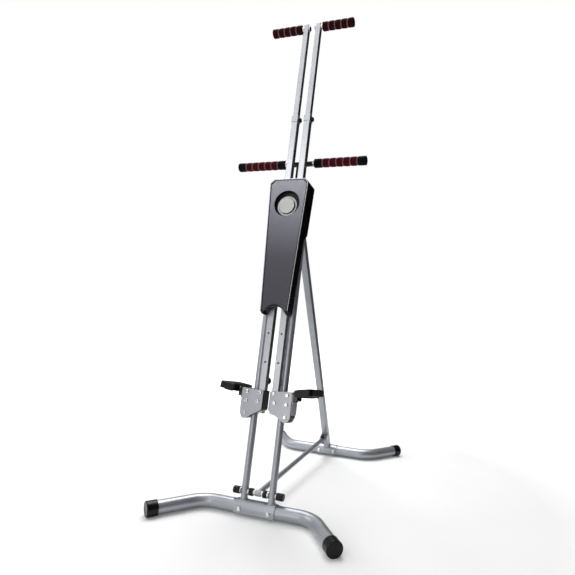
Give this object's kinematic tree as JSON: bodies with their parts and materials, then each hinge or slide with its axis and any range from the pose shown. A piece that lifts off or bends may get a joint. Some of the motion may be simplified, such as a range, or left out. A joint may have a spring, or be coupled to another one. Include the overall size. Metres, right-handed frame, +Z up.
{
  "type": "vertical climber machine",
  "caption": "Folding upright climbing exerciser: two coupled sliding arms with pedals and raised handles on leaning rails, a fixed handlebar and bent tube bases.",
  "frame": {"origin": "on the floor, at the centre of the footprint, midway between the two base tubes", "axes": "+Z up, +X to the right of someone facing the machine, +Y away from the user"},
  "size_m": [0.71, 1.1528, 1.9135],
  "materials": {
    "frame_paint": "satin silver-grey powder coat",
    "arm_paint": "satin light silver coat",
    "black_paint": "semi-gloss black",
    "black_plastic": "fine-grained matt black",
    "nylon_block": "matt black nylon",
    "rubber_black": "matt black rubber",
    "foam_grip": "dark red and black foam, ribbed",
    "bolt_chrome": "bright plated",
    "zinc_steel": "zinc plated, satin",
    "plate_steel": "satin silver coat on pressed plate",
    "fascia_grey": "satin grey shaded panel",
    "timer_silver": "metallic silver plastic",
    "cable_steel": "coated wire rope"
  },
  "bodies": {
    "frame": {"front_base_tube": "frame_paint", "front_base_caps": "rubber_black", "front_saddle": "frame_paint", "front_saddle_bolts": "bolt_chrome", "left_rail": "frame_paint", "right_rail": "frame_paint", "axle_rod": "zinc_steel", "axle_bumpers": "rubber_black", "axle_bushes": "black_plastic", "crosshead_bracket": "frame_paint", "leg_hinge_pin": "zinc_steel", "handlebar": "black_paint", "handlebar_grips": "foam_grip", "handlebar_rings": "zinc_steel", "stem_bolts": "bolt_chrome", "cover_shell": "black_plastic", "cover_fascia": "fascia_grey", "cover_screws": "bolt_chrome", "timer_body": "timer_silver", "pulley_pin": "zinc_steel", "drive_cable": "cable_steel"},
    "pulley": {"pulley": "nylon_block"},
    "timer_button": {"timer_button": "timer_silver"},
    "left_arm": {"left_arm_tube": "arm_paint", "left_collar": "arm_paint", "left_carriage_front_plate": "plate_steel", "left_carriage_rear_plate": "plate_steel", "left_guide_block": "nylon_block", "left_carriage_bolts": "bolt_chrome", "left_pedal_bracket": "black_paint", "left_pedal_pin": "zinc_steel"},
    "left_upper": {"left_upper_tube": "arm_paint", "left_handle_tube": "zinc_steel", "left_top_grip": "foam_grip"},
    "left_knob": {"left_arm_knob": "black_plastic"},
    "left_lock": {"left_lock_knob": "black_plastic"},
    "left_pedal_body": {"left_pedal": "black_plastic"},
    "right_arm": {"right_arm_tube": "arm_paint", "right_collar": "arm_paint", "right_carriage_front_plate": "plate_steel", "right_carriage_rear_plate": "plate_steel", "right_guide_block": "nylon_block", "right_carriage_bolts": "bolt_chrome", "right_pedal_bracket": "black_paint", "right_pedal_pin": "zinc_steel"},
    "right_upper": {"right_upper_tube": "arm_paint", "right_handle_tube": "zinc_steel", "right_top_grip": "foam_grip"},
    "right_knob": {"right_arm_knob": "black_plastic"},
    "right_lock": {"right_lock_knob": "black_plastic"},
    "right_pedal_body": {"right_pedal": "black_plastic"},
    "rear_frame": {"rear_leg": "frame_paint", "rear_base_tube": "frame_paint", "rear_base_caps": "rubber_black", "rear_saddle": "frame_paint", "rear_saddle_bolts": "bolt_chrome", "strut_pin": "zinc_steel"},
    "strut": {"strut": "frame_paint", "strut_bumper": "rubber_black"}
  },
  "joints": [
    {"name": "left_climb", "type": "slide", "parent": "frame", "child": "left_arm", "axis": [0, 0.1611, 0.9869], "range_m": [-0.22, 0.22], "deforming": ["drive_cable"]},
    {"name": "left_height", "type": "slide", "parent": "left_arm", "child": "left_upper", "axis": [0, 0.1611, 0.9869], "range_m": [-0.1, 0.1]},
    {"name": "left_knob_turn", "type": "hinge", "parent": "left_arm", "child": "left_knob", "pos_m": [-0.026, -0.31514, 0.45898], "axis": [0, 0.9869, -0.1611], "continuous": true},
    {"name": "left_lock_pull", "type": "slide", "parent": "left_arm", "child": "left_lock", "axis": [1, 0, 0], "range_m": [0, 0.006], "stiffness_N_per_m": 300},
    {"name": "left_pedal_fold", "type": "hinge", "parent": "left_arm", "child": "left_pedal_body", "pos_m": [-0.109, -0.33395, 0.43065], "axis": [0, 0.9869, -0.1611], "range_deg": [0, 80]},
    {"name": "right_climb", "type": "slide", "parent": "frame", "child": "right_arm", "axis": [0, 0.1611, 0.9869], "range_m": [-0.22, 0.22]},
    {"name": "right_height", "type": "slide", "parent": "right_arm", "child": "right_upper", "axis": [0, 0.1611, 0.9869], "range_m": [-0.1, 0.1]},
    {"name": "right_knob_turn", "type": "hinge", "parent": "right_arm", "child": "right_knob", "pos_m": [0.026, -0.31514, 0.45898], "axis": [0, 0.9869, -0.1611], "continuous": true},
    {"name": "right_lock_pull", "type": "slide", "parent": "right_arm", "child": "right_lock", "axis": [1, 0, 0], "range_m": [0, 0.006], "stiffness_N_per_m": 300},
    {"name": "right_pedal_fold", "type": "hinge", "parent": "right_arm", "child": "right_pedal_body", "pos_m": [0.109, -0.33395, 0.43065], "axis": [0, -0.9869, 0.1611], "range_deg": [0, 80]},
    {"name": "pulley_spin", "type": "hinge", "parent": "frame", "child": "pulley", "pos_m": [0, -0.24714, 1.1612], "axis": [0, 0.9869, -0.1611], "range_deg": [-490, 490]},
    {"name": "timer_press", "type": "slide", "parent": "frame", "child": "timer_button", "axis": [0, 0.9869, -0.1611], "range_m": [0, 0.0015], "stiffness_N_per_m": 300},
    {"name": "rear_fold", "type": "hinge", "parent": "frame", "child": "rear_frame", "pos_m": [0, -0.1634, 1.13413], "axis": [1, 0, 0], "range_deg": [-30, 0]},
    {"name": "strut_fold", "type": "hinge", "parent": "rear_frame", "child": "strut", "pos_m": [0, 0.326, 0.1006], "axis": [1, 0, 0], "range_deg": [-54.5, 0]}
  ],
  "couplings": [
    {"joint": "right_climb", "follows": "left_climb", "ratio": -1},
    {"joint": "pulley_spin", "follows": "left_climb", "rad_per_m": 38.462},
    {"joint": "strut_fold", "follows": "rear_fold", "ratio": 1.8}
  ]
}
